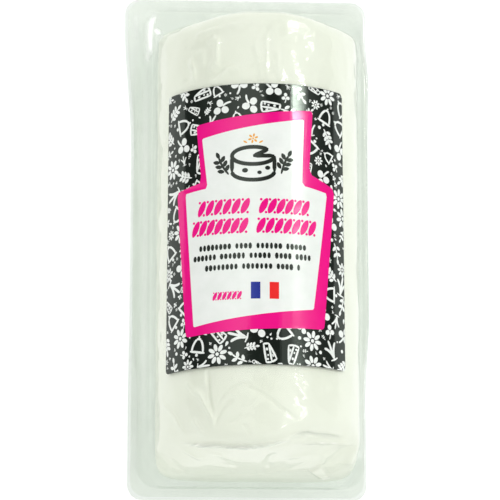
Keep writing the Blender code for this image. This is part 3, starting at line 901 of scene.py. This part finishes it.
def scatter(rng):
    """Places for motifs, biggest first: random places over the label, each taken if it
    is clear of all that were taken before it."""
    taken = np.zeros((0, 3))
    for count, radius in MOTIF_SIZES:
        tries = rng.uniform((-LABEL_HALF_U, -LABEL_HALF_Y), (LABEL_HALF_U, LABEL_HALF_Y), (9000, 2))
        tries += LABEL_MIDDLE
        found = 0
        for u, y in tries[~hidden(tries, radius)]:
            clear = np.hypot(taken[:, 0] - u, taken[:, 1] - y) > taken[:, 2] + radius * 0.78
            if clear.all():
                taken = np.vstack([taken, (u, y, radius)])
                found += 1
            if found == count:
                break
    return taken


def hidden(tries, radius):
    """Whether a motif's place lies so far inside the pink field that it would be hidden."""
    shifts = np.array([(1, 0), (-1, 0), (0, 1), (0, -1)]) * radius * 0.3
    return np.all([inside_rows(tries + shift, PINK_ROWS) for shift in shifts], axis=0)


def label_shape(flat):
    """Points of a plain rectangle about the label's middle (mm), tapered and sheared like
    the label and moved to its place."""
    across = flat[:, 0] * (1 - LABEL_TAPER * flat[:, 1] / LABEL_HALF_Y)
    return np.column_stack([across, flat[:, 1] + LABEL_RISE * across]) + LABEL_MIDDLE


def clipped(flat):
    """Keep points on the label: those past its edge move back to it."""
    across, along = (flat - LABEL_MIDDLE).T
    along = along - LABEL_RISE * across
    across = across / (1 - LABEL_TAPER * along / LABEL_HALF_Y)
    half = np.array([LABEL_HALF_U, LABEL_HALF_Y]) - 0.15
    return label_shape(np.clip(np.column_stack([across, along]), -half, half))


def make_ground_print():
    """White motifs of dairy and meadow scattered over the label's dark ground."""
    rng = np.random.default_rng(MOTIF_SEED)
    big = [wedge(), sprig(), daisy(), bell(), tuft(), clover(), sprig(2)]
    small = [daisy(6), clover(), droplet(), tuft(), sprig(2), disc((0, 0), 0.55, 0.55)]
    shapes = []
    for u, y, radius in scatter(rng):
        choice = big if radius > 2.0 else small
        shape = choice[rng.integers(len(choice))]
        shapes.append(placed(shape, (u, y), radius, rng.uniform(0, 2 * math.pi)))
    flat, faces = join_shapes(shapes)
    return plate("ground_print", clipped(flat), faces, 0.0, 0.03, WHITE_INK)


def garland(places, y, height):
    """A row of leaves that all lean to the right, each with a dot over and under it."""
    row = []
    dot = height * 0.075
    for u in places:
        row.append(disc((u, y), height * 0.19, height * 0.48, math.radians(64), 16, 1.2))
        for side in (-1, 1):
            row.append(disc((u - side * height * 0.13, y + side * height * 0.36), dot, dot, sides=12))
    return row


def bead_rows():
    """Three rows of small upright beads in groups of random length."""
    rng = np.random.default_rng(MOTIF_SEED + 1)
    beads = []
    for y, u, end in ((-11.3, -25.6, 17.6), (-15.2, -28.3, 20.6), (-19.5, -22.9, 15.1)):
        while u < end:
            for _ in range(rng.integers(4, 9)):
                if u < end:
                    size = rng.uniform(0.6, 0.8), rng.uniform(1.15, 1.35)
                    beads.append(disc((u, y), *size, math.pi / 2, 8, 0.9))
                u += 1.75
            u += 1.3
    return beads


def cut_cheese(middle, pen=1.6):
    """Outline of a round cheese with a wedge cut out, round holes and a sprig on each side."""
    wheel = np.linspace(0, 2 * math.pi, 41)
    rim = np.column_stack([8.4 * np.cos(wheel), 3.5 * np.sin(wheel)])
    top, base = rim + (middle, 25.2), rim[20:] + (middle, 18.8)
    shapes = [ribbon(top[5:], pen), ribbon(base, pen)]
    for u in (middle - 8.4, middle + 8.4):
        shapes.append(ribbon(np.linspace((u, 25.1), (u, 18.8), 5), pen))
    for end in (top[0], top[5]):
        shapes.append(ribbon(np.linspace((middle, 25.0), end, 6), pen))
    for u, y, across, along in ((-3.2, 19.2, 0.95, 1.2), (2.5, 18.3, 0.75, 0.9), (5.7, 20.2, 0.85, 1.05)):
        shapes.append(disc((middle + u, y), across, along))
    for place, turn in (((-16.4, 22.2), 116), ((9.0, 22.8), 64)):
        shapes.append(placed(sprig(3, 0.17), place, 5.4, math.radians(turn)))
    return shapes


def stripe(start):
    """Upright block, 3.7 mm wide, as a grid."""
    u, y = np.meshgrid(np.linspace(start, start + 3.7, 4), np.linspace(-32.5, -25.8, 6))
    return np.stack([u, y], axis=-1).reshape(-1, 2), grid_faces(6, 4)


def make_panel_print():
    """Pink field with a white field in it, and the print on that: a cut cheese with
    sprigs, rows of pink leaves, rows of small dark beads, a gold flower and two stripes."""
    middle = -3.9
    pink = garland(np.append(np.linspace(-25.2, -7.0, 6), np.linspace(0.2, 17.4, 6)), 4.8, 7.2)
    pink += garland(np.append(np.linspace(-28.0, -7.6, 7), np.linspace(-0.8, 20.4, 7)), -3.1, 7.2)
    pink += garland(np.linspace(-19.3, -9.3, 6), -31.0, 3.8)
    gold = [placed(daisy(6), (middle, 32.2), 2.2, 0.3)]
    gold += [disc((middle + u, 30.8), 0.35, 0.95, turn, 10, 1.4) for u, turn in ((-3.1, 2.6), (3.1, 0.5))]
    fields = (
        ("pink_field", panel(PINK_ROWS, PANEL_CORNER), 0.0, PINK_LIFT, PINK_INK),
        ("white_field", panel(WHITE_ROWS, PANEL_CORNER / 2), PINK_LIFT, WHITE_LIFT, WHITE_INK),
        ("headline_print", join_shapes(pink), WHITE_LIFT, PRINT_LIFT, PINK_INK),
        ("dark_print", join_shapes(bead_rows() + cut_cheese(middle)), WHITE_LIFT, PRINT_LIFT, DARK_INK),
        ("gold_print", join_shapes(gold), WHITE_LIFT, PRINT_LIFT, GOLD_INK),
        ("blue_stripe", stripe(-4.8), WHITE_LIFT, PRINT_LIFT, BLUE_INK),
        ("red_stripe", stripe(2.5), WHITE_LIFT, PRINT_LIFT, RED_INK),
    )
    return [plate(name, *shape, low, high, material) for name, shape, low, high, material in fields]


def make_label():
    """Label: a grid in arc length by Y with round corners, tapered and sheared a little,
    wrapped round the film."""
    straight = LABEL_HALF_Y - LABEL_CORNER
    bend = LABEL_CORNER * (1 - np.cos(quarter(7)))
    y = np.unique(np.concatenate([bend - LABEL_HALF_Y, np.linspace(-straight, straight, 80),
                                  LABEL_HALF_Y - bend]))
    half = LABEL_HALF_U - corner_inset(np.abs(y) - straight, LABEL_CORNER)
    share = np.linspace(-1, 1, 101)
    flat = np.stack([half[:, None] * share, np.repeat(y[:, None], share.size, axis=1)], axis=-1)
    flat = label_shape(flat.reshape(-1, 2))
    sheet = plate("label_sheet", flat, grid_faces(y.size, share.size), -LABEL_THICKNESS / MM, 0.0, GROUND)
    return finish_piece(sheet, "label")


def make_floor():
    """Plain pale floor, a grid far larger than the pack."""
    x, y = np.meshgrid(np.linspace(-3, 3, 13), np.linspace(-3, 3, 13))
    points = np.stack([x, y, np.zeros_like(x)], axis=-1)
    floor = mesh_piece("floor", points, grid_faces(13, 13), FLOOR)


def make_camera():
    """Camera over the pack, tipped back a little and turned a little to the right."""
    look = np.array([math.sin(CAMERA_TURN), math.sin(CAMERA_TILT), 0.0])
    look[2] = -math.sqrt(1 - look @ look)
    right = np.cross(look, (0.0, 1.0, 0.0))
    right /= np.linalg.norm(right)
    up = np.cross(right, look)
    camera = bpy.data.objects.new("camera", bpy.data.cameras.new("camera"))
    camera.data.sensor_width = 36.0
    camera.data.lens = CAMERA_LENS
    camera.data.clip_start = 0.05
    place = np.array(CAMERA_AIM) - look * CAMERA_DISTANCE
    matrix = np.eye(4)
    matrix[:3] = np.column_stack([right, up, -look, place])
    camera.matrix_world = Matrix(matrix.tolist())
    bpy.context.scene.collection.objects.link(camera)
    bpy.context.scene.camera = camera


def make_light():
    """Soft studio light as a world: a broad pale box on the left, a brighter one on the
    right with a bright strip in it, a dark gap between them overhead, and pale walls in
    front and behind. Angles are degrees from straight up towards +X."""
    world = bpy.data.worlds.new("studio")
    world.use_nodes = True
    tree = world.node_tree
    tree.nodes.clear()
    way = add_node(tree, "TexCoord").outputs["Generated"]
    x, y, z = add_node(tree, "SeparateXYZ", {0: way}).outputs

    def rise(value, start, end, low=0.0, high=1.0):
        limits = {"From Min": start, "From Max": end, "To Min": low, "To Max": high}
        node = add_node(tree, "MapRange", {"Value": value, **limits}, interpolation_type="SMOOTHSTEP")
        return node.outputs["Result"]

    def product(first, *others):
        for value in others:
            first = maths(tree, "MULTIPLY", first, value)
        return first

    angle = product(maths(tree, "ARCTAN2", x, z), 180 / math.pi)
    past_edge = maths(tree, "ADD", angle, maths(tree, "MULTIPLY_ADD", y, -LEFT_BOX_SKEW, -LEFT_BOX_END))
    left_box = product(rise(past_edge, -1.2, 1.2, 1.0, 0.0), rise(angle, -10.0, -75.0, 1.12, 0.1),
                       LEFT_LIGHT)
    right_box = product(rise(angle, *RIGHT_BOX_START), rise(angle, 34.0, 38.0, 1.0, 1.05),
                        rise(angle, 40.0, 80.0, 1.0, 0.15), RIGHT_LIGHT)
    boxes = maths(tree, "MAXIMUM", maths(tree, "MAXIMUM", left_box, right_box), GAP_LIGHT)
    walls = maths(tree, "MAXIMUM", rise(y, 0.165, 0.10), rise(y, 0.34, 0.43))
    wall_light = rise(y, 0.0, 0.4, FRONT_LIGHT, BACK_LIGHT)
    shared = add_node(tree, "Mix", {"Factor": walls, "A": boxes, "B": wall_light})
    upper = maths(tree, "ADD", rise(y, 0.256, 0.268, 0.0, 0.9), rise(y, 0.19, 0.23, 0.0, 0.1))
    upper = product(upper, rise(y, 0.305, 0.325, 1.0, 0.0))
    lower = product(rise(y, 0.155, 0.185, 0.5, 0.0), rise(y, 0.12, 0.14))
    strip = product(rise(angle, 34.5, 38.0), rise(angle, 37.0, 57.0, 1.0, 0.0),
                    maths(tree, "MAXIMUM", upper, lower), STRIP_LIGHT)
    total = maths(tree, "ADD", shared.outputs["Result"], strip)
    background = add_node(tree, "Background", {"Color": (1.0, 0.997, 0.99, 1), "Strength": total})
    add_node(tree, "OutputWorld", {"Surface": background.outputs[0]})
    bpy.context.scene.world = world


MOTTLE = mottle_group()
CRINKLE = crinkle_group()
WRAP = surface_material("white_wrap", (0.94, 0.95, 0.885), (0.915, 0.93, 0.85), 0.42, 55.0, (70.0, 0.01))
FILM = clear_material("clear_film", (0.966, 0.976, 0.957), (0.93, 0.95, 0.93), 0.02, 0.015, (60.0, 0.01),
                      (115.0, 0.55))
TRAY = clear_material("clear_tray", (0.892, 0.913, 0.894), (0.82, 0.88, 0.82), 0.10, 0.025, (90.0, 0.05),
                      (200.0, 0.0))
GROUND = ink("label_ground", (0.010, 0.014, 0.011), (0.006, 0.009, 0.007), 90.0)
WHITE_INK = ink("white_ink", (0.86, 0.89, 0.86), (0.80, 0.84, 0.80))
PINK_INK = ink("pink_ink", (0.86, 0.006, 0.25), (0.82, 0.004, 0.22), 120.0, (1.0, 0.8, 0.88))
DARK_INK = ink("dark_ink", (0.022, 0.026, 0.022), (0.015, 0.018, 0.015))
GOLD_INK = ink("gold_ink", (0.86, 0.43, 0.05), (0.80, 0.38, 0.04))
BLUE_INK = ink("blue_ink", (0.03, 0.045, 0.32), (0.025, 0.036, 0.27))
RED_INK = ink("red_ink", (0.86, 0.03, 0.03), (0.80, 0.022, 0.022))
FLOOR = surface_material("pale_floor", (0.50, 0.50, 0.50), (0.49, 0.49, 0.49), 0.6, 4.0, (30.0, 0.02), 0.1,
                         0.65)

make_camera()
make_light()
make_floor()
make_wrap()
make_film()
make_tray()
make_label()
for printed in [make_ground_print()] + make_panel_print():
    finish_piece(printed)

scene = bpy.context.scene
scene.view_settings.view_transform = "Standard"
scene.cycles.transparent_max_bounces = 24
